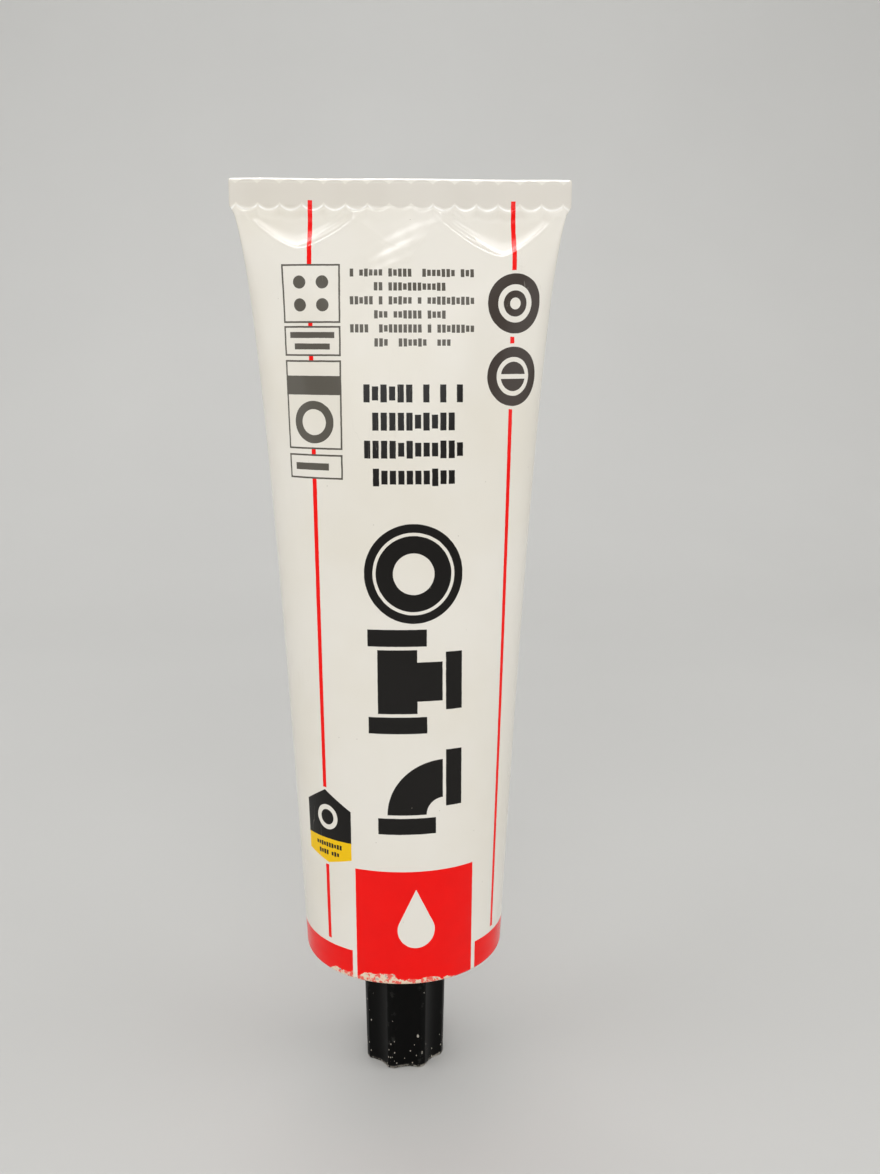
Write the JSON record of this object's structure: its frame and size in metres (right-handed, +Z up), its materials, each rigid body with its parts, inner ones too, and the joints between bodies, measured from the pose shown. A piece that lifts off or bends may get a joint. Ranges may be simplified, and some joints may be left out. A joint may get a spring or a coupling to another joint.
{
  "type": "glue tube",
  "caption": "Collapsible aluminium tube of pipe cement with a rolled end fold, standing on a black fluted screw cap with a piercing point.",
  "frame": {"origin": "centre of the cap's end, on the surface that the tube stands on", "axes": "+Z up along the tube from the cap to the fold, +X along the fold, -Y towards the printed front"},
  "size_m": [0.0594, 0.038, 0.1675],
  "materials": {
    "black_plastic": "satin moulded plastic with fine scuffs",
    "wad": "pressed wad",
    "white_lacquer": "white stove lacquer with red, black and grey print",
    "sealing_compound": "dried latex",
    "glue_gel": "clear amber gel"
  },
  "bodies": {
    "cap": {"screw_cap": "black_plastic"},
    "liner": {"cap_liner": "wad"},
    "tube": {"tube_shell": "white_lacquer", "end_seal": "sealing_compound", "glue_gel": "glue_gel"}
  },
  "joints": [
    {"name": "cap_turn", "type": "hinge", "parent": "cap", "child": "liner", "pos_m": [0, 0, 0.0091], "axis": [0, 0, 1], "range_deg": [0, 1440]},
    {"name": "tube_rise", "type": "slide", "parent": "liner", "child": "tube", "axis": [0, 0, 1], "range_m": [0, 0.008]}
  ],
  "couplings": [
    {"joint": "tube_rise", "follows": "cap_turn", "m_per_rad": 0.00031831}
  ]
}
